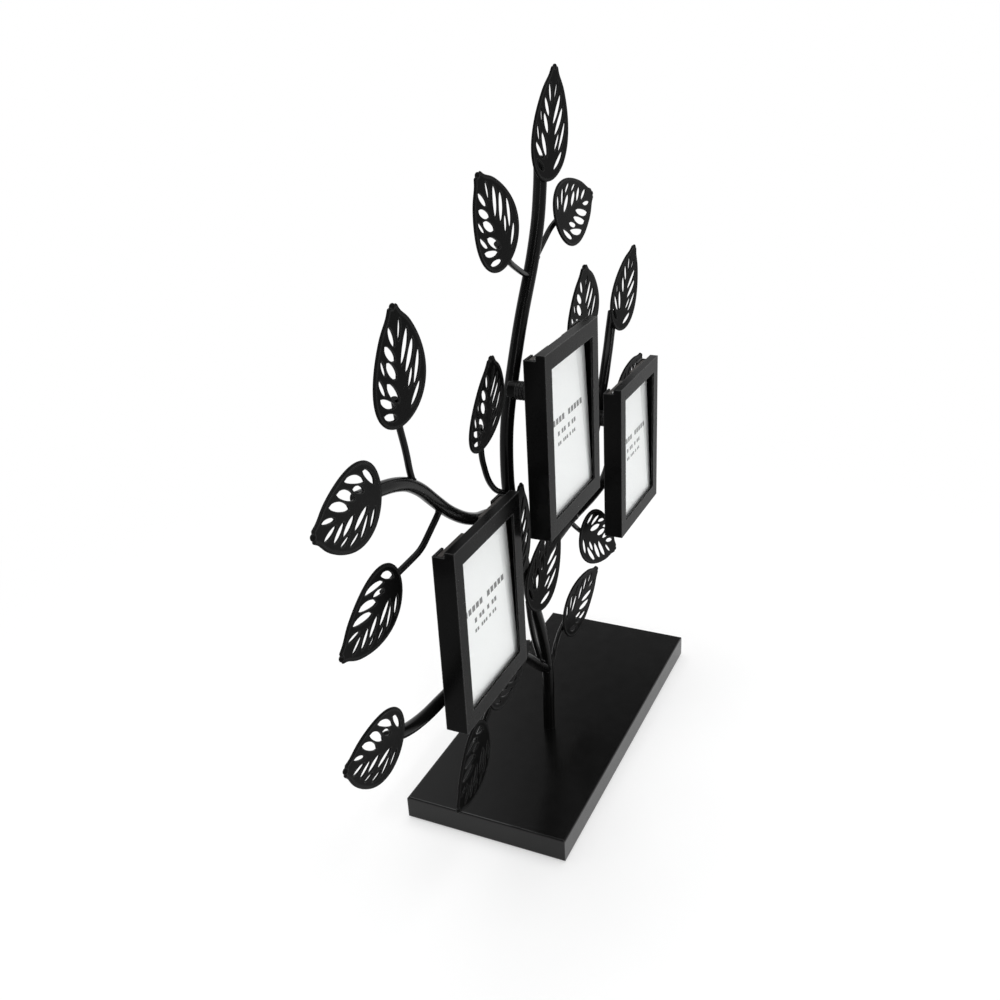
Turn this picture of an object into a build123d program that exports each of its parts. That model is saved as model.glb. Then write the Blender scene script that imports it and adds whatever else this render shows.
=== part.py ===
from build123d import *
import math
import os

# A small metal tree that stands on a folded steel tray and holds three little photo frames.
# Lengths are in millimetres. +Z is up, the frames and leaves face -Y, and the tree spreads
# along X. The tray's middle is the origin until the last step, which moves the origin to the
# middle of the whole stand's length, on the table.
# Tables whose name ends in shares hold shares of the tree height, or of a leaf's own size.

# The height that the tree's shares are taken of, just over the height of the whole stand
tree_height = 328.0

# Base tray
tray_length = 179.0
tray_depth = 80.0
tray_top_height = 12.2
tray_sheet = 1.5
tray_return_lip = 7.0
tray_bend_radius = 1.0
pad_thickness = 1.0
pad_diameter = 12.0
pad_inset_along = 10.0
pad_inset_across = 8.0

# Trunk screw, metric 4, put in from below
screw_diameter = 4.0
screw_hole_diameter = 4.5
screw_length_in_trunk = 9.0
screw_head_diameter = 7.0
screw_head_height = 2.2
screw_key_width = 2.5
screw_key_depth = 1.4
screw_fit_gap = 0.05
washer_diameter = 9.0
washer_thickness = 0.8
blind_hole_extra = 2.0

# Rods
trunk_diameter = 5.8
branch_diameter = 5.2
twig_diameter = 2.5
weld_gap = 0.05
rod_bend_share = 0.45

# Leaves
leaf_length = 44.4
leaf_width = 26.0
leaf_thickness = 1.2
leaf_tip_bead_diameter = 2.4
leaf_tip_bead_thickness = 1.6

# Photo frames
frame_width = 57.5
frame_height = 80.0
frame_depth = 9.4
frame_sheet = 1.0
frame_side_border = 6.2
frame_end_border = 7.2
top_flange_depth = 4.2
channel_drop = 2.4
back_lip_width = 7.5
strap_height = 14.0
strap_thickness = 1.0
strap_centre_height = 56.6
strap_end_inset = 3.0
# How far the stand-off of each frame reaches from the strap to the front of its rod
standoff_reach = {1: 1.9, 2: 12.6, 3: 6.5}
standoff_diameter = 8.0
standoff_groove_width = 0.7
standoff_groove_depth = 0.5
standoff_groove_pitch = 1.5

# Photo, glass and backing that slide down into a frame from above
photo_side_gap = 2.35
photo_thickness = 0.5
glass_thickness = 1.0
backing_thickness = 2.0
insert_top_drop = 2.7
layer_gap = 0.1
slide_gap = 0.25
side_gap = 0.3
seat_gap = 0.1
backing_notch_width = 16.0
backing_notch_depth = 5.0

# One overrun for every cut that passes through a face
cut_overrun = 1.0

# The tree's own plane
tree_plane_share = -0.0046

# Middle lines of the rods: x, y and z as shares of the tree height
trunk_shares = (
    (-0.0466, -0.0046, 0.0372), (-0.0450, -0.0046, 0.085), (-0.0424, -0.0046, 0.121),
    (-0.0480, -0.0046, 0.174), (-0.0686, -0.0046, 0.240), (-0.0936, -0.0046, 0.297),
    (-0.1120, -0.0046, 0.357), (-0.1300, -0.0046, 0.426), (-0.1480, -0.0046, 0.488),
    (-0.1480, -0.0046, 0.530), (-0.1440, -0.0046, 0.566), (-0.1347, -0.0046, 0.597),
    (-0.1143, -0.0046, 0.642), (-0.0841, -0.0046, 0.700), (-0.0412, -0.0046, 0.764),
    (-0.0180, -0.0046, 0.812), (-0.0070, -0.0046, 0.861), (-0.0050, -0.0046, 0.888),
)
branch_shares = {
    "lower_left_branch": (
        (-0.045, -0.0046, 0.144), (-0.0677, -0.0046, 0.162), (-0.0936, -0.0046, 0.187),
        (-0.125, -0.0046, 0.218), (-0.172, -0.0046, 0.252), (-0.230, -0.0046, 0.277),
        (-0.290, -0.0046, 0.292), (-0.356, -0.0046, 0.299), (-0.405, -0.0046, 0.303),
        (-0.445, -0.0046, 0.312), (-0.490, -0.0048, 0.332),
    ),
    "upper_left_branch": (
        (-0.132, -0.0046, 0.432), (-0.152, -0.0046, 0.458), (-0.183, -0.0046, 0.469),
        (-0.2107, -0.0046, 0.480), (-0.2451, -0.0064, 0.490), (-0.2841, -0.0098, 0.510),
        (-0.3198, -0.0098, 0.535), (-0.3530, -0.0116, 0.564), (-0.3838, -0.0131, 0.592),
        (-0.4143, -0.0150, 0.612), (-0.4448, -0.0165, 0.624), (-0.4744, -0.0165, 0.631),
        (-0.512, -0.0172, 0.638),
    ),
    "middle_left_branch": (
        (-0.168, -0.0046, 0.463), (-0.205, -0.0046, 0.456), (-0.250, -0.0046, 0.450),
        (-0.315, -0.0046, 0.448),
    ),
    "lower_right_branch": (
        (-0.102, -0.0046, 0.324), (-0.062, -0.0046, 0.333), (-0.012, -0.0046, 0.341),
        (0.061, -0.0046, 0.347), (0.152, -0.0046, 0.343), (0.207, -0.0046, 0.346),
        (0.244, -0.0030, 0.364), (0.265, -0.0010, 0.400), (0.284, -0.0005, 0.450),
    ),
    "upper_right_branch": (
        (0.052, -0.0046, 0.347), (0.107, -0.0046, 0.378), (0.152, -0.0043, 0.421),
        (0.186, -0.0028, 0.464), (0.2265, -0.0006, 0.517), (0.2439, 0.0018, 0.539),
        (0.2625, 0.0050, 0.556), (0.2805, 0.0085, 0.575), (0.303, 0.0118, 0.602),
    ),
}
twig_shares = {
    "twig_02": (
        (-0.0520, -0.0046, 0.746), (-0.082, -0.0075, 0.758), (-0.118, -0.0115, 0.776),
        (-0.1348, -0.0137, 0.786), (-0.165, -0.0150, 0.812),
    ),
    "twig_03": (
        (-0.0400, -0.0046, 0.7600), (-0.0098, -0.0060, 0.779), (0.010, -0.0085, 0.794),
        (0.0259, -0.0107, 0.801), (0.042, -0.0120, 0.804),
    ),
    "twig_04": (
        (-0.398, -0.0140, 0.604), (-0.4046, -0.0146, 0.621), (-0.4150, -0.0182, 0.652),
        (-0.4274, -0.0205, 0.685), (-0.435, -0.0228, 0.716),
    ),
    "twig_06": (
        (-0.338, -0.0107, 0.550), (-0.3473, -0.0101, 0.542), (-0.3799, -0.0046, 0.514),
        (-0.4000, 0.0020, 0.506), (-0.4168, 0.0083, 0.499), (-0.448, 0.0080, 0.493),
    ),
    "twig_08": (
        (-0.150, -0.0046, 0.482), (-0.186, -0.0046, 0.503), (-0.205, -0.0046, 0.526),
        (-0.217, -0.0046, 0.559), (-0.2185, -0.0048, 0.580), (-0.226, -0.0090, 0.606),
    ),
    "twig_09": (
        (0.2005, -0.0020, 0.483), (0.180, -0.0030, 0.530), (0.150, -0.0033, 0.572),
        (0.118, -0.0036, 0.606), (0.106, -0.0070, 0.632),
    ),
    "twig_12": (
        (0.046, -0.0046, 0.348), (0.061, -0.0046, 0.343), (0.0805, -0.0046, 0.325),
        (0.105, -0.0042, 0.305), (0.117, -0.0064, 0.296),
    ),
    "twig_13": (
        (-0.066, -0.0046, 0.162), (-0.0735, -0.0061, 0.1787), (-0.0966, -0.0085, 0.226),
        (-0.1090, -0.0095, 0.267), (-0.1140, -0.0098, 0.300),
    ),
    "twig_14": (
        (-0.0440, -0.0046, 0.132), (-0.0174, -0.0034, 0.145), (-0.0040, -0.0010, 0.157),
        (0.0277, 0.0046, 0.163), (0.057, 0.0048, 0.172),
    ),
    "twig_15": (
        (-0.196, -0.0046, 0.264), (-0.212, -0.0030, 0.230), (-0.2274, 0.0000, 0.198),
        (-0.2463, 0.0045, 0.1756), (-0.277, 0.0018, 0.168),
    ),
    "twig_16": (
        (-0.240, -0.0046, 0.280), (-0.222, -0.0070, 0.320), (-0.196, -0.0120, 0.345),
        (-0.171, -0.0138, 0.382),
    ),
    "twig_17": (
        (-0.312, -0.0046, 0.294), (-0.300, -0.0075, 0.262), (-0.276, -0.0110, 0.245),
        (-0.240, -0.0118, 0.243),
    ),
}
# The rod that each branch and twig is welded to
carrier_of = {
    "lower_left_branch": "trunk", "upper_left_branch": "trunk",
    "middle_left_branch": "upper_left_branch", "lower_right_branch": "trunk",
    "upper_right_branch": "lower_right_branch",
    "twig_02": "trunk", "twig_03": "trunk", "twig_04": "upper_left_branch",
    "twig_06": "upper_left_branch", "twig_08": "trunk", "twig_09": "upper_right_branch",
    "twig_12": "lower_right_branch", "twig_13": "lower_left_branch", "twig_14": "trunk",
    "twig_15": "lower_left_branch", "twig_16": "lower_left_branch",
    "twig_17": "lower_left_branch",
}

# Leaves: x, y and z of the round base end, as shares of the tree height
leaf_base_shares = {
    1: (-0.0098, -0.0157, 0.8603), 2: (-0.1488, -0.0213, 0.7893), 3: (0.0110, -0.0185, 0.8006),
    4: (-0.4265, -0.0274, 0.6890), 5: (-0.4869, -0.0274, 0.6369), 6: (-0.4220, 0.0015, 0.4973),
    7: (-0.4750, -0.0150, 0.3284), 8: (-0.2195, -0.0113, 0.5799), 9: (0.1140, -0.0104, 0.6073),
    10: (0.2924, -0.0006, 0.5793), 11: (0.2613, -0.0107, 0.4387), 12: (0.0945, -0.0104, 0.3140),
    13: (-0.1110, -0.0180, 0.2878), 14: (0.0366, -0.0015, 0.1655), 15: (-0.2500, -0.0030, 0.1759),
    16: (-0.1747, -0.0198, 0.3656), 17: (-0.2650, -0.0180, 0.2439),
}
# Direction of each leaf: turn in the tree's plane from +X towards +Z, lean back, and roll
leaf_turn = {
    1: (85, -4, -8), 2: (124, -1, -9), 3: (7, 1, -12), 4: (103, -7, -8), 5: (174, -5, 1),
    6: (190, -2, 0), 7: (160, -4, -2), 8: (106, -14, -4), 9: (109, -9, -11), 10: (63, -3, -7),
    11: (33, -1, -3), 12: (322, -7, 2), 13: (53, -2, -8), 14: (20, -3, -2), 15: (195, -8, 3),
    16: (75, 0, 0), 17: (0, 0, 0),
}
# The leaf's outline: how its half width grows from the round end and falls to the tip
leaf_round_share = 0.5
leaf_taper_share = 0.95
outline_shares = (0.93, 0.80, 0.64, 0.47, 0.32, 0.20, 0.10, 0.03)
# Openings of the two halves, from the midrib outwards: inner end and outer end, each along and
# across the leaf, then how far the long sides bulge towards the round end and towards the tip.
# Along and bulge are shares of the leaf length, across is a share of its half width.
left_opening_shares = (
    (0.080, 0.29, 0.185, 0.79, 0.030, 0.028), (0.188, 0.31, 0.345, 0.85, 0.040, 0.019),
    (0.335, 0.63, 0.505, 0.81, 0.027, 0.013), (0.490, 0.55, 0.640, 0.65, 0.022, 0.012),
    (0.195, 0.15, 0.425, 0.55, 0.034, 0.036), (0.400, 0.14, 0.590, 0.48, 0.036, 0.034),
    (0.550, 0.13, 0.725, 0.48, 0.036, 0.028), (0.665, 0.09, 0.850, 0.26, 0.028, 0.022),
)
right_opening_shares = (
    (0.076, 0.29, 0.248, 0.78, 0.042, 0.022), (0.224, 0.50, 0.520, 0.81, 0.046, 0.018),
    (0.243, 0.28, 0.410, 0.51, 0.023, 0.028), (0.378, 0.22, 0.640, 0.62, 0.041, 0.032),
    (0.470, 0.08, 0.755, 0.44, 0.037, 0.032), (0.680, 0.07, 0.865, 0.18, 0.020, 0.017),
)

# Where each stand-off meets its rod, along X and up, and where it sits along its frame's width
standoff_shares = {1: (-0.2988, 0.44786), 2: (-0.1270, 0.61856), 3: (0.1875, 0.46437)}
standoff_along_shares = {1: 0.500, 2: 0.378, 3: 0.339}
standoff_carrier = {1: "middle_left_branch", 2: "trunk", 3: "upper_right_branch"}


def at_height_shares(shares):
    """A point of the tree from its three shares."""
    return Vector(*(share * tree_height for share in shares))


def rod_path(shares):
    """A line of straight runs joined by arcs that fill most of each corner."""
    points = [at_height_shares(point) for point in shares]
    radii = []
    for before, corner, after in zip(points, points[1:], points[2:]):
        run_in = corner - before
        run_out = after - corner
        half_turn = math.radians(run_in.get_angle(run_out)) / 2
        shorter = min(run_in.length, run_out.length)
        radii.append(rod_bend_share * shorter / math.tan(half_turn))
    return FilletPolyline(*points, radius=radii)


def rod_solid(shares, diameter):
    """A round rod along its middle line."""
    path = rod_path(shares)
    start = Plane(origin=path @ 0, z_dir=path % 0)
    return sweep(start * Circle(diameter / 2), path=path)


def rod_diameter(name):
    """The diameter of a rod from its name."""
    if name == "trunk":
        return trunk_diameter
    return branch_diameter if "branch" in name else twig_diameter


def all_rod_shares():
    """Every rod's middle line by name."""
    return {"trunk": trunk_shares, **branch_shares, **twig_shares}


def make_rods():
    """The trunk, and each rod cut to the side of the rod that carries it."""
    routes = all_rod_shares()
    rods = {"trunk": make_trunk()}
    for name, carrier in carrier_of.items():
        rod = rod_solid(routes[name], rod_diameter(name))
        clear = rod_solid(routes[carrier], rod_diameter(carrier) + 2 * weld_gap)
        rods[name] = longest(rod - clear)
    return rods


def longest(shape):
    """The largest solid of a cut shape."""
    return max(shape.solids(), key=lambda solid: solid.volume)


def make_trunk():
    """The trunk with its foot cut level on the tray and a blind hole for the screw."""
    foot = at_height_shares(trunk_shares[0])
    body = rod_solid(trunk_shares, trunk_diameter)
    hole_depth = screw_length_in_trunk + blind_hole_extra
    hole = Cylinder(screw_diameter / 2, hole_depth, align=(Align.CENTER, Align.CENTER, Align.MIN))
    below = Box(tray_depth, tray_depth, tray_top_height, align=(Align.CENTER, Align.CENTER, Align.MAX))
    body = body - Pos(foot.X, foot.Y, tray_top_height) * hole
    return longest(body - Pos(foot.X, foot.Y, tray_top_height) * below)


def make_tray():
    """A sheet folded down on four sides, with lips folded in underneath."""
    wall_height = tray_top_height - pad_thickness
    low = (Align.CENTER, Align.CENTER, Align.MIN)
    outer = Pos(0, 0, pad_thickness) * Box(tray_length, tray_depth, wall_height, align=low)
    outer = fillet(outer.edges().group_by(Axis.Z)[-1], tray_bend_radius)
    inside_length = tray_length - 2 * tray_sheet
    inside_depth = tray_depth - 2 * tray_sheet
    inside_height = wall_height - 2 * tray_sheet
    inside = Pos(0, 0, pad_thickness + tray_sheet) * Box(inside_length, inside_depth, inside_height, align=low)
    mouth_length = inside_length - 2 * tray_return_lip
    mouth_depth = inside_depth - 2 * tray_return_lip
    mouth_height = tray_sheet + 2 * cut_overrun
    mouth = Pos(0, 0, pad_thickness - cut_overrun) * Box(mouth_length, mouth_depth, mouth_height, align=low)
    foot = at_height_shares(trunk_shares[0])
    hole = Cylinder(screw_hole_diameter / 2, tray_sheet + 2 * cut_overrun)
    hole = Pos(foot.X, foot.Y, tray_top_height - tray_sheet / 2) * hole
    return longest(outer - inside - mouth - hole)


def make_pads():
    """Four thin round feet under the tray's folded lips."""
    along = tray_length / 2 - pad_inset_along
    across = tray_depth / 2 - pad_inset_across
    pad = Cylinder(pad_diameter / 2, pad_thickness, align=(Align.CENTER, Align.CENTER, Align.MIN))
    return {
        f"foot_pad_{number + 1}": Pos(side * along, end * across, 0) * pad
        for number, (side, end) in enumerate(((-1, -1), (1, -1), (-1, 1), (1, 1)))
    }


def make_screw():
    """The trunk's button head screw and its washer, below the tray's top sheet."""
    foot = at_height_shares(trunk_shares[0])
    sheet_underside = tray_top_height - tray_sheet
    up = (Align.CENTER, Align.CENTER, Align.MIN)
    down = (Align.CENTER, Align.CENTER, Align.MAX)
    washer = Cylinder(washer_diameter / 2, washer_thickness, align=down)
    washer = washer - Cylinder(screw_hole_diameter / 2, washer_thickness + cut_overrun, align=down)
    head_top = sheet_underside - washer_thickness
    head = Cylinder(screw_head_diameter / 2, screw_head_height, align=down)
    head = fillet(head.edges().group_by(Axis.Z)[0], screw_head_height / 2)
    socket = RegularPolygon(screw_key_width / 2, 6, major_radius=False)
    socket = extrude(socket, screw_key_depth)
    head = head - Pos(0, 0, -screw_head_height) * socket
    shank_length = tray_sheet + washer_thickness + screw_length_in_trunk
    shank = Cylinder(screw_diameter / 2 - screw_fit_gap, shank_length, align=up)
    return {
        "trunk_screw": Pos(foot.X, foot.Y, head_top) * (head + shank),
        "trunk_washer": Pos(foot.X, foot.Y, sheet_underside) * washer,
    }


def leaf_half_width(share):
    """Half the leaf's width at a share of its length."""
    widest = leaf_round_share / (leaf_round_share + leaf_taper_share)
    scale = widest ** leaf_round_share * (1 - widest) ** leaf_taper_share
    return leaf_width / 2 * share ** leaf_round_share * (1 - share) ** leaf_taper_share / scale


def leaf_outline():
    """The closed outline, pointed at the tip and round at the base."""
    tip = (leaf_length, 0)
    upper = [(share * leaf_length, leaf_half_width(share)) for share in outline_shares]
    lower = [(x, -y) for x, y in reversed(upper)]
    return make_face(Spline(tip, *upper, (0, 0), *lower, tip))


def leaf_opening(shares, side):
    """One opening between two veins: a pointed lens with two arcs for its long sides."""
    inner = Vector(shares[0] * leaf_length, side * shares[1] * leaf_width / 2)
    outer = Vector(shares[2] * leaf_length, side * shares[3] * leaf_width / 2)
    middle = (inner + outer) / 2
    run = outer - inner
    rimward = Vector(-side * run.Y, side * run.X).normalized() * leaf_length
    near_side = ThreePointArc(inner, middle + rimward * shares[4], outer)
    far_side = ThreePointArc(outer, middle - rimward * shares[5], inner)
    return make_face([near_side, far_side])


def make_leaf_blank():
    """One pierced leaf, flat, with its round end at the origin and its tip along +X."""
    openings = [leaf_opening(shares, 1) for shares in left_opening_shares]
    openings += [leaf_opening(shares, -1) for shares in right_opening_shares]
    blade = extrude(leaf_outline() - openings, leaf_thickness / 2, both=True)
    bead_radius = leaf_tip_bead_diameter / 2
    return blade + Pos(leaf_length - bead_radius, 0, 0) * Cylinder(bead_radius, leaf_tip_bead_thickness)


def leaf_plane(number):
    """Where a leaf lies: x towards its tip and z out of its front."""
    turn, lean, roll = (math.radians(angle) for angle in leaf_turn[number])
    ahead = Vector(math.cos(turn) * math.cos(lean), math.sin(lean), math.sin(turn) * math.cos(lean))
    front = Vector(0, -1, 0)
    front = (front - ahead * front.dot(ahead)).normalized()
    side = front.cross(ahead)
    rolled = side * math.cos(roll) + front * math.sin(roll)
    origin = at_height_shares(leaf_base_shares[number])
    return Plane(origin=origin, x_dir=ahead, z_dir=ahead.cross(rolled))


def make_leaves():
    """All leaves, one shared shape in its places."""
    blank = longest(make_leaf_blank())
    return {f"leaf_{number:02d}": leaf_plane(number) * blank for number in leaf_base_shares}


def make_frame_shell():
    """A folded frame, its lower left front corner at the origin and its back towards +Y."""
    corner = (Align.MIN, Align.MIN, Align.MIN)
    channel_height = frame_height - channel_drop
    body = Box(frame_width, frame_depth, channel_height, align=corner)
    cap = Pos(0, 0, channel_height) * Box(frame_width, top_flange_depth, channel_drop, align=corner)
    inner_width = frame_width - 2 * frame_sheet
    inner_depth = frame_depth - 2 * frame_sheet
    room = Pos(frame_sheet, frame_sheet, frame_sheet) * Box(
        inner_width, inner_depth, channel_height, align=corner)
    cap_room = Pos(frame_sheet, frame_sheet, channel_height - frame_sheet) * Box(
        inner_width, frame_depth, channel_drop, align=corner)
    back_width = frame_width - 2 * back_lip_width
    back_mouth = Pos(back_lip_width, frame_depth - frame_sheet - cut_overrun, frame_sheet) * Box(
        back_width, frame_sheet + 2 * cut_overrun, frame_height, align=corner)
    window = Pos(frame_side_border, -cut_overrun, frame_end_border) * Box(
        frame_width - 2 * frame_side_border, frame_sheet + 2 * cut_overrun,
        frame_height - 2 * frame_end_border, align=corner)
    return longest(body - room - back_mouth + (cap - cap_room) - window)


def make_strap():
    """The flat strap welded across the frame's back lips."""
    low_left = (Align.MIN, Align.MIN, Align.CENTER)
    strap = Box(frame_width - 2 * strap_end_inset, strap_thickness, strap_height, align=low_left)
    return Pos(strap_end_inset, frame_depth, strap_centre_height) * strap


def insert_lean():
    """The insert's lean back: it passes behind the top flange and rests against the face below."""
    rise = frame_height - 2 * frame_sheet - seat_gap
    return math.atan2(top_flange_depth - frame_sheet, rise)


def insert_layer(width, height, thickness, depth):
    """A sheet of the insert in the leaning slot, its front face a given depth into the stack."""
    low = (Align.CENTER, Align.MIN, Align.MIN)
    stack = glass_thickness + photo_thickness + backing_thickness + 2 * layer_gap
    lift = frame_sheet + seat_gap + stack * math.sin(insert_lean())
    sheet = Pos(0, depth, 0) * Box(width, thickness, height, align=low)
    lean = Rot(-math.degrees(insert_lean()), 0, 0)
    return Pos(frame_width / 2, frame_sheet + slide_gap, lift) * lean * sheet


def make_insert():
    """Glass, photo card and backing board of one frame."""
    room_width = frame_width - 2 * frame_sheet
    board_width = room_width - 2 * side_gap
    photo_width = room_width - 2 * photo_side_gap
    height = frame_height - frame_sheet - seat_gap - insert_top_drop
    glass = insert_layer(board_width, height, glass_thickness, 0)
    photo_depth = glass_thickness + layer_gap
    photo = insert_layer(photo_width, height, photo_thickness, photo_depth)
    backing_depth = photo_depth + photo_thickness + layer_gap
    backing = insert_layer(board_width, height, backing_thickness, backing_depth)
    notch = Cylinder(backing_notch_width / 2, 2 * frame_depth, rotation=(90, 0, 0))
    notch_height = frame_sheet + height + backing_notch_width / 2 - backing_notch_depth
    backing = backing - Pos(frame_width / 2, 0, notch_height) * notch
    return {"glass": glass, "photo_card": photo, "backing": backing}


def standoff_middle(number):
    """Where the stand-off meets its strap."""
    along, up = standoff_shares[number]
    rod_front = tree_plane_share * tree_height - rod_diameter(standoff_carrier[number]) / 2
    return Vector(along * tree_height, rod_front - standoff_reach[number], up * tree_height)


def frame_corner(number):
    """The lower left front corner of a frame, from where its stand-off holds it."""
    held = standoff_middle(number)
    left = held.X - standoff_along_shares[number] * frame_width
    front = held.Y - strap_thickness - frame_depth
    return Vector(left, front, held.Z - strap_centre_height)


def make_standoff(number):
    """The ribbed round spacer between a frame's strap and its rod, cut to the rod's side."""
    held = standoff_middle(number)
    carrier = standoff_carrier[number]
    reach = standoff_reach[number] + rod_diameter(carrier) / 2
    spacer = Cylinder(standoff_diameter / 2, reach, align=(Align.CENTER, Align.CENTER, Align.MAX))
    groove_outer = Cylinder(standoff_diameter / 2 + cut_overrun, standoff_groove_width)
    groove = groove_outer - Cylinder(standoff_diameter / 2 - standoff_groove_depth, standoff_groove_width)
    for step in range(int(standoff_reach[number] / standoff_groove_pitch)):
        spacer = spacer - Pos(0, 0, -(step + 1 / 2) * standoff_groove_pitch) * groove
    spacer = Pos(held) * Rot(90, 0, 0) * spacer
    clear = rod_solid(all_rod_shares()[carrier], rod_diameter(carrier) + 2 * weld_gap)
    pieces = (spacer - clear).solids()
    return min(pieces, key=lambda piece: piece.center().Y)


def make_frames():
    """Three equal frames, each with its strap, stand-off, glass, photo card and backing."""
    shell = make_frame_shell()
    strap = make_strap()
    insert = make_insert()
    nodes = {}
    for number in standoff_carrier:
        place = Pos(frame_corner(number))
        nodes[f"frame_{number}_shell"] = place * shell
        nodes[f"frame_{number}_strap"] = place * strap
        nodes[f"frame_{number}_standoff"] = make_standoff(number)
        for name, solid in insert.items():
            nodes[f"frame_{number}_{name}"] = place * solid
    return nodes


def make_all():
    """Every node by name."""
    nodes = {"base_tray": make_tray()}
    nodes.update(make_pads())
    nodes.update(make_screw())
    nodes.update(make_rods())
    nodes.update(make_leaves())
    nodes.update(make_frames())
    return nodes


def centred(nodes):
    """All nodes moved along X so that the origin is under the middle of the whole stand."""
    extent = Compound(children=[solid for shape in nodes.values() for solid in shape.solids()]).bounding_box()
    shift = Pos(-extent.center().X, 0, 0)
    return {name: shift * shape for name, shape in nodes.items()}


os.makedirs("parts", exist_ok=True)
for node_name, node_shape in centred(make_all()).items():
    export_step(node_shape, f"parts/{node_name}.step")
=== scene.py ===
import math

import bmesh
import bpy
from mathutils import Matrix, Vector
from mathutils.bvhtree import BVHTree


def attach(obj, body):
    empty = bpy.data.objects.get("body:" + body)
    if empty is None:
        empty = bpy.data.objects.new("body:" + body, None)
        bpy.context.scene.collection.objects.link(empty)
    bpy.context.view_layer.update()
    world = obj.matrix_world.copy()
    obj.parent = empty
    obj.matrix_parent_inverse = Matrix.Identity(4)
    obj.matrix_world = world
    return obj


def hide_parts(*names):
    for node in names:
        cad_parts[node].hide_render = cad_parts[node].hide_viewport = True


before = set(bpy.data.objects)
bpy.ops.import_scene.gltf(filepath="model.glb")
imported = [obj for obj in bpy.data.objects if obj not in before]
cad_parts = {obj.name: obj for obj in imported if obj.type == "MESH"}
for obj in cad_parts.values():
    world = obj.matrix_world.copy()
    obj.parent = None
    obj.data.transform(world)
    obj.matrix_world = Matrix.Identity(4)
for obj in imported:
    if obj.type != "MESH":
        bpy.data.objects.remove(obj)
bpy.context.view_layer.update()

# Units and the tree's place in the frame
MM = 0.001
TREE_HEIGHT = 328.0 * MM
TRAY_ENDS = [corner[0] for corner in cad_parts["base_tray"].bound_box]
TRAY_MIDDLE = Vector(((min(TRAY_ENDS) + max(TRAY_ENDS)) / 2, 0, 0))

# Camera fitted to the frames and the tray, aimed at a point measured from the tray's middle
CAMERA_TURN = math.radians(-63.57)
CAMERA_RISE = math.radians(25.09)
CAMERA_ROLL = math.radians(-3.25)
CAMERA_DISTANCE = 695.4 * MM
CAMERA_AIM = Vector((131.8, 92.3, 60.0)) * MM
CAMERA_SENSOR = 36.0
CAMERA_LENS = 1.0934 * CAMERA_SENSOR
CAMERA_NEAR = 10.0 * MM
CAMERA_FAR = 40.0

# Leaves: the plate with its softened edge, the round rim, and the bead at the tip
LEAF_LENGTH = 44.4 * MM
LEAF_WIDTH = 26.0 * MM
LEAF_PLATE = 0.9 * MM
LEAF_EDGE = 0.16 * MM
RIM_RADIUS = 0.60 * MM
TIP_BEAD_RADIUS = 1.20 * MM
TIP_BEAD_DEPTH = 0.7

# Outline of a leaf: the exponents of its round end and of its taper, then how much it draws in
# near the tip, and where and over what share of its length
LEAF_ROUND = 0.5
LEAF_TAPER = 0.95
TIP_PINCH = 0.27
TIP_PINCH_PLACE = 0.92
TIP_PINCH_SPREAD = 0.075

# Round end of each leaf as shares of the tree height, then turn, lean and roll in degrees
LEAVES = {
    1: ((-0.0098, -0.0157, 0.8603), (85, -4, -8)), 2: ((-0.1488, -0.0213, 0.7893), (124, -1, -9)),
    3: ((0.0110, -0.0185, 0.8006), (7, 1, -12)), 4: ((-0.4265, -0.0274, 0.6890), (103, -7, -8)),
    5: ((-0.4869, -0.0274, 0.6369), (174, -5, 1)), 6: ((-0.4220, 0.0015, 0.4973), (190, -2, 0)),
    7: ((-0.4750, -0.0150, 0.3284), (160, -4, -2)), 8: ((-0.2195, -0.0113, 0.5799), (106, -14, -4)),
    9: ((0.1140, -0.0104, 0.6073), (109, -9, -11)), 10: ((0.2924, -0.0006, 0.5793), (63, -3, -7)),
    11: ((0.2613, -0.0107, 0.4387), (33, -1, -3)), 12: ((0.0945, -0.0104, 0.3140), (322, -7, 2)),
    13: ((-0.1110, -0.0180, 0.2878), (53, -2, -8)), 14: ((0.0366, -0.0015, 0.1655), (20, -3, -2)),
    15: ((-0.2500, -0.0030, 0.1759), (195, -8, 3)), 16: ((-0.1747, -0.0198, 0.3656), (75, 0, 0)),
    17: ((-0.2650, -0.0180, 0.2439), (0, 0, 0)),
}

# Openings of the two halves of a leaf, as shares of its length and half width: inner end and
# outer end along and across, then the bulge towards the round end and towards the tip
LEFT_OPENINGS = (
    (0.080, 0.29, 0.185, 0.80, 0.030, 0.028), (0.188, 0.31, 0.345, 0.87, 0.040, 0.019),
    (0.335, 0.63, 0.505, 0.83, 0.027, 0.013), (0.490, 0.55, 0.640, 0.67, 0.022, 0.012),
    (0.195, 0.15, 0.425, 0.55, 0.034, 0.036), (0.400, 0.14, 0.590, 0.48, 0.036, 0.034),
    (0.550, 0.13, 0.725, 0.48, 0.036, 0.028), (0.665, 0.09, 0.850, 0.26, 0.028, 0.022),
)
RIGHT_OPENINGS = (
    (0.076, 0.29, 0.248, 0.79, 0.044, 0.020), (0.224, 0.50, 0.520, 0.82, 0.048, 0.014),
    (0.243, 0.28, 0.410, 0.51, 0.032, 0.020), (0.378, 0.22, 0.640, 0.63, 0.051, 0.023),
    (0.470, 0.08, 0.755, 0.45, 0.046, 0.024), (0.680, 0.07, 0.865, 0.19, 0.024, 0.014),
)

# Exponent of an opening's swell: the smaller it is, the blunter are the opening's ends
OPENING_BLUNTNESS = 0.62

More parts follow.
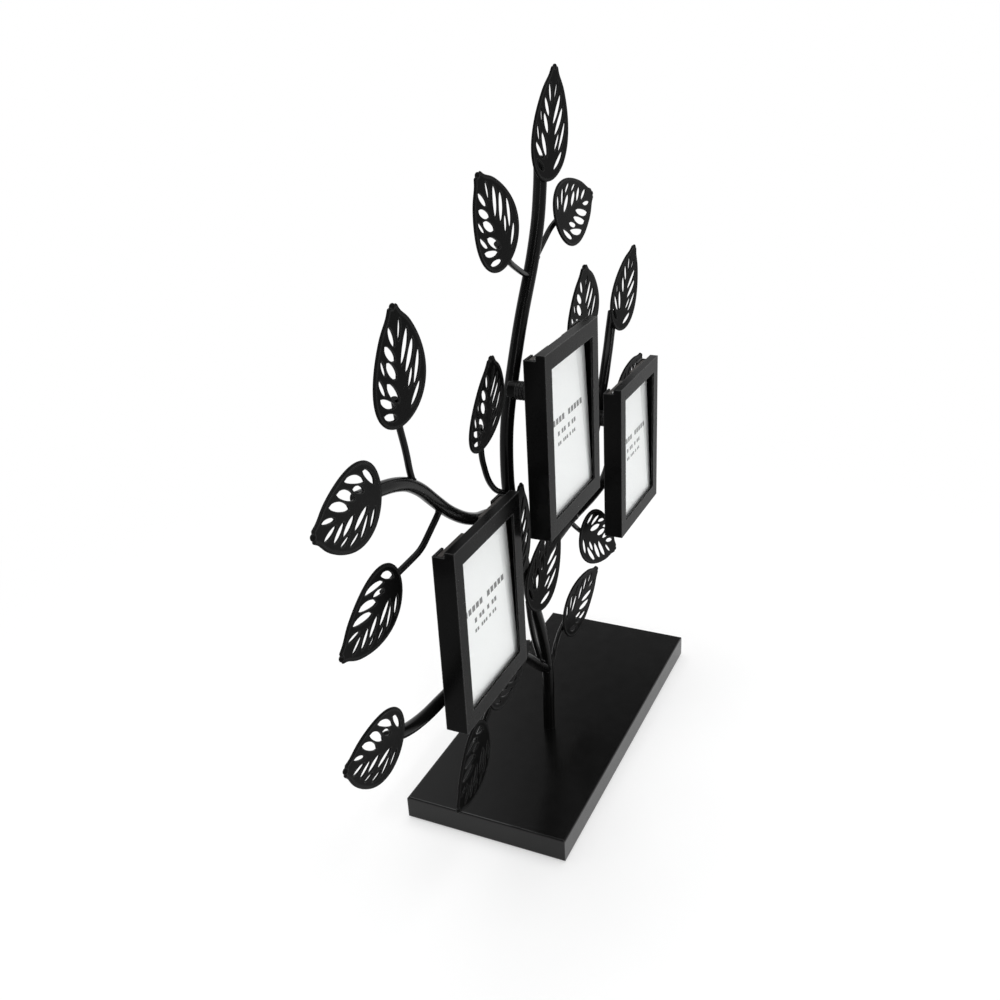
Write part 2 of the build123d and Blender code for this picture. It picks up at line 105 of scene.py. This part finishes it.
# Rods and what each is welded to
CARRIERS = {
    "lower_left_branch": "trunk", "upper_left_branch": "trunk",
    "middle_left_branch": "upper_left_branch", "lower_right_branch": "trunk",
    "upper_right_branch": "lower_right_branch", "twig_02": "trunk", "twig_03": "trunk",
    "twig_04": "upper_left_branch", "twig_06": "upper_left_branch", "twig_08": "trunk",
    "twig_09": "upper_right_branch", "twig_12": "lower_right_branch",
    "twig_13": "lower_left_branch", "twig_14": "trunk", "twig_15": "lower_left_branch",
    "twig_16": "lower_left_branch", "twig_17": "lower_left_branch",
}

# Points of a rod that are nearer than this to its carrier are its welded end
WELD_TOUCH = 0.15 * MM

# Weld bead, as shares of the rod end's radius: how far out it runs and how thick it is, then its
# height as a share of that, and its ripples: waves around the rod, their share and their start
WELD_RING = 0.92
WELD_THICK = 0.30
WELD_HEIGHT = 0.8
WELD_RIPPLES = ((9, 0.16, 0.0), (4, 0.10, 1.3))

# Folds of the frames and of the tray, and the angles from which an edge is rounded or stays sharp
FRAME_FOLD = 0.42 * MM
TRAY_FOLD = 0.45 * MM
FOLD_SEGMENTS = 3
FOLD_ANGLE = math.radians(50)
SHARP_ANGLE = math.radians(40)

# The plain dashes on each card in place of print, as shares of its height and width: height above
# its foot, how tall a line is, and where each run of dashes starts with how many there are
CARD_LINES = (
    (0.565, 0.034, ((0.17, 5), (0.56, 5))),
    (0.495, 0.026, ((0.32, 1), (0.40, 2), (0.54, 1), (0.62, 2))),
    (0.440, 0.020, ((0.31, 2), (0.42, 3), (0.56, 1), (0.62, 2))),
)

# Pitch and width of the dashes, as shares of the card's width, for a line as tall as the card
CARD_DASH_PITCH = 1.90
CARD_DASH_WIDTH = 1.35
CARD_INK_LIFT = 0.03 * MM

# Where a noise is read as its dark end and as its light end
NOISE_DARK = 0.3
NOISE_LIGHT = 0.7

# Powder coat: clouds, uneven sheen and pebble in waves per metre, then how much the roughness
# varies, how high the pebble is, and how far the painted highlight on the edges reaches and how strong it
# is
CLOUD_WAVES = 45.0
SHEEN_WAVES = 160.0
PEBBLE_WAVES = 1800.0
SHEEN_RANGE = 0.05
PEBBLE_HEIGHT = 0.06 * MM
HIGHLIGHT_REACH = 0.8 * MM
HIGHLIGHT_STRENGTH = 2.6

# The other materials, with their noises in waves per metre
STEEL_CLOUD_WAVES = 700.0
STEEL_MARK_WAVES = 1500.0
GRAIN_HEIGHT = 0.08 * MM
GLASS_SMEAR_WAVES = 60.0
GLASS_TINT = (0.990, 0.995, 0.993, 1.0)
GLASS_IOR = 1.45

# Sockets of a mix node that carry colours
MIX_FIRST_COLOUR = 6
MIX_SECOND_COLOUR = 7
MIX_RESULT_COLOUR = 2

# Floor, in metres from its middle: how far it reaches, and from where to where it turns plain
# white, then its own brightness and the share of plain white at its middle
FLOOR_REACH = 6.0
FLOOR_WHITE_START = 0.15
FLOOR_WHITE_END = 0.45
FLOOR_BRIGHTNESS = 0.92
FLOOR_WHITE_LEAST = 0.48

# Brightness of the surroundings by height, from 0 at the horizon to 1 straight up
SKY = ((0.30, 1.0), (0.40, 0.50), (0.50, 0.20), (0.64, 0.02))

# The soft panel that the left of the tray mirrors: where it hangs, the cosines of the angles at
# which it fades in and is full, and how bright it is
PANEL_DIRECTION = Vector((0.504, 0.601, 0.620))
PANEL_EDGE = 0.925
PANEL_CORE = 0.985
PANEL_BRIGHTNESS = 0.70

# Lamps: place, aim and size in metres, and power in watts
STAND_MIDDLE = (0.0, 0.0, 0.15)
LAMPS = {
    "overhead": ((0.1, 0.1, 1.7), (0.0, 0.0, 0.0), (1.8, 1.6), 30),
    "front_left": ((-1.3, -0.9, 1.0), STAND_MIDDLE, (0.10, 1.1), 4.5),
    "front_right": ((0.3, -1.4, 1.0), STAND_MIDDLE, (1.1, 0.12), 5.5),
    "back_left": ((-0.9, 1.2, 0.9), STAND_MIDDLE, (0.08, 1.0), 1.5),
}


def grey(value):
    """A grey for a colour socket."""
    return (value, value, value, 1.0)


def node_tree(name):
    """A new material with a surface shader, its node tree and that shader."""
    material = bpy.data.materials.new(name)
    material.use_nodes = True
    tree = material.node_tree
    tree.nodes.clear()
    output = tree.nodes.new("ShaderNodeOutputMaterial")
    surface = tree.nodes.new("ShaderNodeBsdfPrincipled")
    tree.links.new(surface.outputs["BSDF"], output.inputs["Surface"])
    return material, tree, surface


def object_coordinates(tree):
    """Places on an object, in its own units."""
    return tree.nodes.new("ShaderNodeTexCoord").outputs["Object"]


def noise(tree, coordinates, waves, detail=4.0, roughness=0.5):
    """A noise from 0 to 1, with its waves per metre."""
    node = tree.nodes.new("ShaderNodeTexNoise")
    node.inputs["Scale"].default_value = waves
    node.inputs["Detail"].default_value = detail
    node.inputs["Roughness"].default_value = roughness
    tree.links.new(coordinates, node.inputs["Vector"])
    return node.outputs["Fac"]


def colour_ramp(tree, source, stops):
    """A colour that follows the source through stops of place and colour, from low to high."""
    node = tree.nodes.new("ShaderNodeValToRGB")
    elements = node.color_ramp.elements
    for element, (place, colour) in zip(elements, (stops[0], stops[-1])):
        element.position = place
        element.color = colour
    for place, colour in stops[1:-1]:
        elements.new(place).color = colour
    tree.links.new(source, node.inputs["Fac"])
    return node.outputs["Color"]


def ramp(tree, source, low, high):
    """A colour from low to high over the middle of a noise's range."""
    return colour_ramp(tree, source, ((NOISE_DARK, low), (NOISE_LIGHT, high)))


def spread(tree, source, low, high):
    """A value from low to high as the source goes from 0 to 1."""
    node = tree.nodes.new("ShaderNodeMapRange")
    node.inputs["To Min"].default_value = low
    node.inputs["To Max"].default_value = high
    tree.links.new(source, node.inputs["Value"])
    return node.outputs["Result"]


def smooth_range(tree, source, start, end, low, high):
    """A value that goes smoothly from low to high as the source goes from start to end."""
    node = tree.nodes.new("ShaderNodeMapRange")
    node.interpolation_type = "SMOOTHSTEP"
    node.inputs["From Min"].default_value = start
    node.inputs["From Max"].default_value = end
    node.inputs["To Min"].default_value = low
    node.inputs["To Max"].default_value = high
    tree.links.new(source, node.inputs["Value"])
    return node.outputs["Result"]


def feed(tree, values, sockets):
    """Gives each socket its value, which is another socket or fixed."""
    for value, socket in zip(values, sockets):
        if isinstance(value, bpy.types.NodeSocket):
            tree.links.new(value, socket)
        else:
            socket.default_value = value


def math_node(tree, operation, first, second, clamp=False):
    """One sum of two values, each a socket or a number."""
    node = tree.nodes.new("ShaderNodeMath")
    node.operation = operation
    node.use_clamp = clamp
    feed(tree, (first, second), node.inputs)
    return node.outputs["Value"]


def vector_node(tree, operation, *vectors):
    """One sum of vectors, each a socket or fixed."""
    node = tree.nodes.new("ShaderNodeVectorMath")
    node.operation = operation
    feed(tree, vectors, node.inputs)
    return node


def blend_shaders(tree, share, first, second):
    """Sends a blend of two shaders to the material's output, with the second's share given."""
    mix = tree.nodes.new("ShaderNodeMixShader")
    feed(tree, (share, first, second), mix.inputs)
    output = next(node for node in tree.nodes if node.type == "OUTPUT_MATERIAL")
    tree.links.new(mix.outputs["Shader"], output.inputs["Surface"])


def bump(tree, surface, height, strength, distance):
    """Relief in a surface, from a height that goes from 0 to 1 over a distance."""
    node = tree.nodes.new("ShaderNodeBump")
    node.inputs["Strength"].default_value = strength
    node.inputs["Distance"].default_value = distance
    tree.links.new(height, node.inputs["Height"])
    tree.links.new(node.outputs["Normal"], surface.inputs["Normal"])


def edge_nearness(tree, distance):
    """How close a point is to a sharp edge, from 0 on a flat to 1 at the edge."""
    bevel = tree.nodes.new("ShaderNodeBevel")
    bevel.samples = 4
    bevel.inputs["Radius"].default_value = distance
    geometry = tree.nodes.new("ShaderNodeNewGeometry")
    product = vector_node(tree, "DOT_PRODUCT", bevel.outputs["Normal"], geometry.outputs["Normal"])
    return math_node(tree, "SUBTRACT", 1.0, product.outputs["Value"])


def powder_coat(name, dark, light, edge_highlight, roughness, shine, pebble, waves=PEBBLE_WAVES):
    """Black powder coat: faint clouding, a fine pebble and a painted highlight that makes its edges paler.
    """
    material, tree, surface = node_tree(name)
    coordinates = object_coordinates(tree)
    clouds = noise(tree, coordinates, CLOUD_WAVES, detail=3.0, roughness=0.55)
    # Painted highlight: the colour turns paler towards every edge, however the light falls
    highlight_share = math_node(tree, "MULTIPLY", edge_nearness(tree, HIGHLIGHT_REACH), HIGHLIGHT_STRENGTH, clamp=True)
    mix = tree.nodes.new("ShaderNodeMix")
    mix.data_type = "RGBA"
    tree.links.new(highlight_share, mix.inputs["Factor"])
    tree.links.new(ramp(tree, clouds, grey(dark), grey(light)), mix.inputs[MIX_FIRST_COLOUR])
    mix.inputs[MIX_SECOND_COLOUR].default_value = grey(edge_highlight)
    tree.links.new(mix.outputs[MIX_RESULT_COLOUR], surface.inputs["Base Color"])
    uneven = noise(tree, coordinates, SHEEN_WAVES, detail=4.0, roughness=0.6)
    sheen = spread(tree, uneven, roughness - SHEEN_RANGE, roughness + SHEEN_RANGE)
    tree.links.new(sheen, surface.inputs["Roughness"])
    surface.inputs["Specular IOR Level"].default_value = shine
    bump(tree, surface, noise(tree, coordinates, waves, detail=2.0), pebble, PEBBLE_HEIGHT)
    return material


def steel(name):
    """Bright zinc-plated steel with fine turning marks."""
    material, tree, surface = node_tree(name)
    coordinates = object_coordinates(tree)
    clouds = noise(tree, coordinates, STEEL_CLOUD_WAVES, detail=3.0, roughness=0.6)
    tree.links.new(ramp(tree, clouds, low=grey(0.42), high=grey(0.60)), surface.inputs["Base Color"])
    surface.inputs["Metallic"].default_value = 1.0
    marks = noise(tree, coordinates, STEEL_MARK_WAVES, detail=2.0)
    tree.links.new(spread(tree, marks, low=0.25, high=0.42), surface.inputs["Roughness"])
    return material


def grained(name, low, high, waves, roughness, strength):
    """A dull material with a fine grain in its colour and its height."""
    material, tree, surface = node_tree(name)
    grain = noise(tree, object_coordinates(tree), waves, detail=5.0, roughness=0.7)
    tree.links.new(ramp(tree, grain, low, high), surface.inputs["Base Color"])
    surface.inputs["Roughness"].default_value = roughness
    bump(tree, surface, grain, strength, GRAIN_HEIGHT)
    return material


def sheet_glass(name):
    """Thin clear glass: what is behind it, and a reflection that grows towards grazing."""
    material, tree, surface = node_tree(name)
    tree.nodes.remove(surface)
    clear = tree.nodes.new("ShaderNodeBsdfTransparent")
    clear.inputs["Color"].default_value = GLASS_TINT
    smear = noise(tree, object_coordinates(tree), GLASS_SMEAR_WAVES, detail=4.0, roughness=0.6)
    shine = tree.nodes.new("ShaderNodeBsdfGlossy")
    tree.links.new(spread(tree, smear, low=0.02, high=0.07), shine.inputs["Roughness"])
    fresnel = tree.nodes.new("ShaderNodeFresnel")
    fresnel.inputs["IOR"].default_value = GLASS_IOR
    inside = tree.nodes.new("ShaderNodeNewGeometry").outputs["Backfacing"]
    outside = math_node(tree, "SUBTRACT", 1.0, inside)
    share = math_node(tree, "MULTIPLY", fresnel.outputs["Fac"], outside)
    blend_shaders(tree, share, clear.outputs["BSDF"], shine.outputs["BSDF"])
    return material


# The edge colour given to each coat is a painted highlight along its edges
COAT_FRAME = powder_coat(
    "powder_coat_frames", dark=0.0018, light=0.0032, edge_highlight=0.070, roughness=0.28, shine=0.045, pebble=0.10
)
COAT_TRAY = powder_coat(
    "powder_coat_tray", dark=0.0010, light=0.0018, edge_highlight=0.060, roughness=0.22, shine=0.30, pebble=0.04
)
COAT_ROD = powder_coat(
    "powder_coat_rods", dark=0.0016, light=0.0028, edge_highlight=0.020, roughness=0.21, shine=0.09, pebble=0.08
)
COAT_LEAF = powder_coat(
    "powder_coat_leaves", dark=0.0012, light=0.0030, edge_highlight=0.060, roughness=0.32, shine=0.020, pebble=0.50,
    waves=700.0,
)
STEEL = steel("zinc_steel")
RUBBER = grained("foot_rubber", grey(0.018), grey(0.040), waves=1500.0, roughness=0.85, strength=0.4)
GLASS = sheet_glass("cover_glass")
BOARD = grained(
    "black_hardboard", (0.022, 0.019, 0.017, 1), (0.045, 0.038, 0.034, 1),
    waves=900.0, roughness=0.75, strength=0.5,
)
CARD = grained("photo_paper", grey(0.91), grey(0.93), waves=2200.0, roughness=0.50, strength=0.1)
INK = grained("grey_ink", grey(0.11), grey(0.15), waves=2600.0, roughness=0.60, strength=0.1)


def tree_point(shares):
    """A point of the tree from its shares of the tree height, measured from the tray's middle."""
    x, y, z = (share * TREE_HEIGHT for share in shares)
    return TRAY_MIDDLE + Vector((x, y, z))


def half_width(share):
    """Half the leaf's width at a share of its length, drawn in just before the tip."""
    widest = LEAF_ROUND / (LEAF_ROUND + LEAF_TAPER)
    scale = widest ** LEAF_ROUND * (1 - widest) ** LEAF_TAPER
    pinch = TIP_PINCH * math.exp(-(((share - TIP_PINCH_PLACE) / TIP_PINCH_SPREAD) ** 2))
    return LEAF_WIDTH / 2 * share ** LEAF_ROUND * (1 - share) ** LEAF_TAPER / scale * (1 - pinch)


def leaf_matrix(number):
    """Where a leaf lies: x towards its tip and z out of its front."""
    base, angles = LEAVES[number]
    turn, lean, roll = (math.radians(angle) for angle in angles)
    ahead = Vector((math.cos(turn) * math.cos(lean), math.sin(lean), math.sin(turn) * math.cos(lean)))
    front = Vector((0, -1, 0))
    front = (front - ahead * front.dot(ahead)).normalized()
    rolled = front.cross(ahead) * math.cos(roll) + front * math.sin(roll)
    matrix = Matrix((ahead, rolled, ahead.cross(rolled))).transposed().to_4x4()
    matrix.translation = tree_point(base)
    return matrix


def rim_points(count=44):
    """The middle line of the rim: the leaf's outline, as far as the tip bead, drawn in by its radius."""
    reach = 1 - (TIP_BEAD_RADIUS + RIM_RADIUS) / LEAF_LENGTH
    shares = [reach * (1 + math.cos(math.pi * step / count)) / 2 for step in range(count)]
    upper = [Vector((share * LEAF_LENGTH, half_width(share), 0)) for share in shares]
    lower = [Vector((point.x, -point.y, 0)) for point in reversed(upper)]
    outline = upper + [Vector((0, 0, 0))] + lower
    drawn_in = []
    for index, point in enumerate(outline):
        before = outline[max(index - 1, 0)]
        after = outline[min(index + 1, len(outline) - 1)]
        along = (after - before).normalized()
        drawn_in.append(point + Vector((along.y, -along.x, 0)) * RIM_RADIUS)
    return drawn_in


def opening_points(shares, side, count=9):
    """One opening between two veins: a lens whose ends are a little blunt."""
    inner = Vector((shares[0] * LEAF_LENGTH, side * shares[1] * LEAF_WIDTH / 2, 0))
    outer = Vector((shares[2] * LEAF_LENGTH, side * shares[3] * LEAF_WIDTH / 2, 0))
    run = outer - inner
    rimward = Vector((-side * run.y, side * run.x, 0)).normalized() * LEAF_LENGTH
    near_side, far_side = [], []
    for step in range(count + 1):
        share = step / count
        swell = (4 * share * (1 - share)) ** OPENING_BLUNTNESS
        near_side.append(inner + run * share + rimward * shares[4] * swell)
        far_side.append(inner + run * share - rimward * shares[5] * swell)
    return near_side + far_side[-2:0:-1]


def add_loop(curve, points):
    """A closed line through the points in a curve."""
    spline = curve.splines.new("POLY")
    spline.points.add(len(points) - 1)
    for place, point in zip(spline.points, points):
        place.co = (point.x, point.y, point.z, 1)
    spline.use_cyclic_u = True


def curve_to_mesh(curve):
    """The mesh of a curve, which is removed."""
    holder = bpy.data.objects.new(curve.name, curve)
    bpy.context.scene.collection.objects.link(holder)
    graph = bpy.context.evaluated_depsgraph_get()
    mesh = bpy.data.meshes.new_from_object(holder.evaluated_get(graph))
    bpy.data.objects.remove(holder)
    return mesh


def leaf_plate():
    """The pierced plate with softened edges."""
    plate = bpy.data.curves.new("leaf_plate", "CURVE")
    plate.dimensions = "2D"
    plate.fill_mode = "BOTH"
    add_loop(plate, rim_points())
    for side, openings in ((1, LEFT_OPENINGS), (-1, RIGHT_OPENINGS)):
        for shares in openings:
            add_loop(plate, opening_points(shares, side))
    plate.extrude = LEAF_PLATE / 2 - LEAF_EDGE
    plate.bevel_depth = LEAF_EDGE
    plate.bevel_resolution = 2
    plate.offset = -LEAF_EDGE
    return curve_to_mesh(plate)


def leaf_rim():
    """The round rim along the outline."""
    rim = bpy.data.curves.new("leaf_rim", "CURVE")
    rim.dimensions = "3D"
    add_loop(rim, rim_points())
    rim.bevel_depth = RIM_RADIUS
    rim.bevel_resolution = 3
    return curve_to_mesh(rim)


def leaf_mesh():
    """The plate, its rim and the bead where the rim's ends meet at the tip."""
    joined = bmesh.new()
    joined.from_mesh(leaf_plate())
    joined.from_mesh(leaf_rim())
    flatter = Matrix.Diagonal((1, 1, TIP_BEAD_DEPTH, 1))
    tip = Matrix.Translation((LEAF_LENGTH - TIP_BEAD_RADIUS, 0, 0)) @ flatter
    bmesh.ops.create_uvsphere(joined, u_segments=16, v_segments=10, radius=TIP_BEAD_RADIUS, matrix=tip)
    mesh = bpy.data.meshes.new("leaf")
    joined.to_mesh(mesh)
    joined.free()
    return mesh


def add_piece(name, mesh, material, body):
    """A visible piece that rides on a body and is smooth apart from its sharp edges."""
    mesh.shade_smooth()
    mesh.set_sharp_from_angle(angle=SHARP_ANGLE)
    mesh.materials.append(material)
    piece = bpy.data.objects.new(name, mesh)
    bpy.context.scene.collection.objects.link(piece)
    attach(piece, body)
    return piece


def add_leaves():
    """The pierced leaves that stand in for the plain ones."""
    shared = leaf_mesh()
    for number in LEAVES:
        mesh = shared.copy()
        mesh.transform(leaf_matrix(number))
        leaf = add_piece(f"leaf_{number:02d}_pierced", mesh, COAT_LEAF, "stand")
        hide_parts(f"leaf_{number:02d}")


def world_mesh(node):
    """A CAD node's points in the frame, and its faces."""
    points = [node.matrix_world @ vertex.co for vertex in node.data.vertices]
    return points, [tuple(face.vertices) for face in node.data.polygons]


def weld_place(rod, carrier):
    """Middle of a rod's end on its carrier, the way out of the carrier there, and the end's radius."""
    points, faces = world_mesh(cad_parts[carrier])
    side = BVHTree.FromPolygons(points, faces)
    rod_points, _ = world_mesh(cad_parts[rod])
    touching = [point for point in rod_points if side.find_nearest(point)[3] < WELD_TOUCH]
    middle = sum(touching, Vector()) / len(touching)
    _, normal, _, _ = side.find_nearest(middle)
    radius = sum((point - middle).length for point in touching) / len(touching)
    return middle, normal, radius


def bead_mesh(middle, normal, radius, turns=26, rows=7):
    """A rippled weld bead around a rod's end: a ring whose height and width ripple around it."""
    ring = bmesh.new()
    to_side = normal.to_track_quat("Z", "Y").to_matrix().to_4x4()
    rings = []
    for turn in range(turns):
        angle = 2 * math.pi * turn / turns
        ripple = sum((share * math.sin(waves * angle + start) for waves, share, start in WELD_RIPPLES), 1)
        thick = WELD_THICK * radius * ripple
        loop = []
        for row in range(rows):
            around = 2 * math.pi * row / rows
            out = WELD_RING * radius + thick * math.cos(around)
            rise = WELD_HEIGHT * thick * math.sin(around)
            loop.append(ring.verts.new((out * math.cos(angle), out * math.sin(angle), rise)))
        rings.append(loop)
    for turn in range(turns):
        here, after = rings[turn], rings[(turn + 1) % turns]
        for row in range(rows):
            other = (row + 1) % rows
            ring.faces.new((here[row], here[other], after[other], after[row]))
    mesh = bpy.data.meshes.new("weld")
    bmesh.ops.recalc_face_normals(ring, faces=ring.faces)
    ring.to_mesh(mesh)
    ring.free()
    mesh.transform(Matrix.Translation(middle) @ to_side)
    return mesh


def add_welds():
    """A bead where each rod meets what carries it."""
    for rod, carrier in CARRIERS.items():
        mesh = bead_mesh(*weld_place(rod, carrier))
        add_piece(f"{rod}_weld", mesh, COAT_ROD, "stand")


def card_plane(card):
    """A card's lower left front corner, its run along the width and up, and its front's normal."""
    points, _ = world_mesh(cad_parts[card])
    left = min(point.x for point in points)
    right = max(point.x for point in points)
    left_edge = [point for point in points if point.x < left + MM]
    foot = min(left_edge, key=lambda point: point.y + point.z)
    head = max(left_edge, key=lambda point: point.z - point.y)
    up = Vector((0, head.y - foot.y, head.z - foot.z))
    across = Vector((right - left, 0, 0))
    return Vector((left, foot.y, foot.z)), across, up, across.cross(up).normalized()


def line_mesh(card):
    """Thin ink dashes that stand for three lines of print, with no letters."""
    corner, across, up, normal = card_plane(card)
    ink = bmesh.new()
    for height, tall, runs in CARD_LINES:
        starts = [first + CARD_DASH_PITCH * tall * dash for first, count in runs for dash in range(count)]
        for start in starts:
            end = start + CARD_DASH_WIDTH * tall
            corners = ((start, height), (end, height), (end, height + tall), (start, height + tall))
            places = [corner + across * x + up * y + normal * CARD_INK_LIFT for x, y in corners]
            ink.faces.new([ink.verts.new(place) for place in places])
    mesh = bpy.data.meshes.new("lines")
    ink.to_mesh(mesh)
    ink.free()
    return mesh


def add_card_lines():
    """The dashes of each card, which ride up with its insert."""
    for number in (1, 2, 3):
        mesh = line_mesh(f"frame_{number}_photo_card")
        add_piece(f"frame_{number}_lines", mesh, INK, f"insert_{number}")


def material_of(name):
    """The finish of a CAD node."""
    if "glass" in name:
        return GLASS
    if "photo_card" in name:
        return CARD
    if "backing" in name:
        return BOARD
    if name.startswith("foot_pad"):
        return RUBBER
    if name in ("trunk_screw", "trunk_washer"):
        return STEEL
    if name == "base_tray":
        return COAT_TRAY
    return COAT_FRAME if name.startswith("frame") else COAT_ROD


def soften(node, width):
    """Rounds the folds of a sheet piece a little."""
    fold = node.modifiers.new("fold", "BEVEL")
    fold.width = width
    fold.segments = FOLD_SEGMENTS
    fold.limit_method = "ANGLE"
    fold.angle_limit = FOLD_ANGLE


def dress_nodes():
    """Gives each CAD node its finish, and rounds the folds of the frames and the tray."""
    for name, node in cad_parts.items():
        node.data.materials.clear()
        node.data.materials.append(material_of(name))
        if name.endswith("_shell") or name.endswith("_strap"):
            soften(node, FRAME_FOLD)
        if name == "base_tray":
            soften(node, TRAY_FOLD)


def seen_by_eye_or_gloss(tree):
    """1 for rays from the camera, from gloss or through glass, otherwise 0."""
    path = tree.nodes.new("ShaderNodeLightPath")
    either = math_node(tree, "MAXIMUM", path.outputs["Is Camera Ray"], path.outputs["Is Glossy Ray"])
    return math_node(tree, "MAXIMUM", either, path.outputs["Is Transmission Ray"])


def floor_material():
    """Pale grey that takes the soft shadow near the stand and is plain white farther off."""
    material, tree, surface = node_tree("pale_floor")
    surface.inputs["Base Color"].default_value = grey(FLOOR_BRIGHTNESS)
    surface.inputs["Roughness"].default_value = 1.0
    surface.inputs["Specular IOR Level"].default_value = 0.0
    white = tree.nodes.new("ShaderNodeEmission")
    white.inputs["Color"].default_value = grey(1.0)
    distance = vector_node(tree, "LENGTH", object_coordinates(tree)).outputs["Value"]
    far = smooth_range(tree, distance, FLOOR_WHITE_START, FLOOR_WHITE_END, FLOOR_WHITE_LEAST, 1.0)
    share = math_node(tree, "MULTIPLY", far, seen_by_eye_or_gloss(tree))
    blend_shaders(tree, share, surface.outputs["BSDF"], white.outputs["Emission"])
    return material


def add_floor():
    """A wide square under the stand."""
    mesh = bpy.data.meshes.new("floor")
    ends = (-FLOOR_REACH, FLOOR_REACH)
    corners = [(ends[0], ends[0], 0), (ends[1], ends[0], 0), (ends[1], ends[1], 0), (ends[0], ends[1], 0)]
    mesh.from_pydata(corners, [], [(0, 1, 2, 3)])
    mesh.materials.append(floor_material())
    floor = bpy.data.objects.new("floor", mesh)
    bpy.context.scene.collection.objects.link(floor)


def add_surroundings():
    """White walls down to the floor's edge, a dim ceiling, and a soft pale panel that the tray mirrors."""
    world = bpy.data.worlds.new("studio")
    bpy.context.scene.world = world
    world.use_nodes = True
    tree = world.node_tree
    tree.nodes.clear()
    direction = tree.nodes.new("ShaderNodeTexCoord").outputs["Generated"]
    split = tree.nodes.new("ShaderNodeSeparateXYZ")
    tree.links.new(direction, split.inputs["Vector"])
    sky = colour_ramp(tree, split.outputs["Z"], [(place, grey(value)) for place, value in SKY])
    toward = vector_node(tree, "DOT_PRODUCT", direction, PANEL_DIRECTION).outputs["Value"]
    panel = smooth_range(tree, toward, PANEL_EDGE, PANEL_CORE, 0.0, PANEL_BRIGHTNESS)
    both = vector_node(tree, "ADD", sky, panel).outputs["Vector"]
    light = tree.nodes.new("ShaderNodeBackground")
    light.inputs["Strength"].default_value = 1.0
    tree.links.new(both, light.inputs["Color"])
    output = tree.nodes.new("ShaderNodeOutputWorld")
    tree.links.new(light.outputs["Background"], output.inputs["Surface"])


def add_lamp(name, place, aim, size, power):
    """A soft rectangular lamp."""
    data = bpy.data.lights.new(name, "AREA")
    data.shape = "RECTANGLE"
    data.size, data.size_y = size
    data.energy = power
    lamp = bpy.data.objects.new(name, data)
    bpy.context.scene.collection.objects.link(lamp)
    lamp.location = place
    lamp.rotation_euler = (Vector(aim) - Vector(place)).to_track_quat("-Z", "Y").to_euler()


def add_lamps():
    """The lamps around the stand."""
    for name, (place, aim, size, power) in LAMPS.items():
        add_lamp(name, place, aim, size, power)


def add_camera():
    """The camera that sees what the photo shows."""
    data = bpy.data.cameras.new("camera")
    data.lens = CAMERA_LENS
    data.sensor_width = CAMERA_SENSOR
    data.clip_start = CAMERA_NEAR
    data.clip_end = CAMERA_FAR
    camera = bpy.data.objects.new("camera", data)
    bpy.context.scene.collection.objects.link(camera)
    level = Vector((-math.sin(CAMERA_TURN), math.cos(CAMERA_TURN), 0))
    look = level * math.cos(CAMERA_RISE) - Vector((0, 0, math.sin(CAMERA_RISE)))
    right = look.cross(Vector((0, 0, 1))).normalized()
    up = right.cross(look)
    across = right * math.cos(CAMERA_ROLL) + up * math.sin(CAMERA_ROLL)
    rise = up * math.cos(CAMERA_ROLL) - right * math.sin(CAMERA_ROLL)
    matrix = Matrix((across, rise, -look)).transposed().to_4x4()
    matrix.translation = TRAY_MIDDLE + CAMERA_AIM - look * CAMERA_DISTANCE
    camera.matrix_world = matrix
    bpy.context.scene.camera = camera


dress_nodes()
add_leaves()
add_welds()
add_card_lines()
add_floor()
add_surroundings()
add_lamps()
add_camera()
bpy.context.scene.view_settings.view_transform = "Standard"
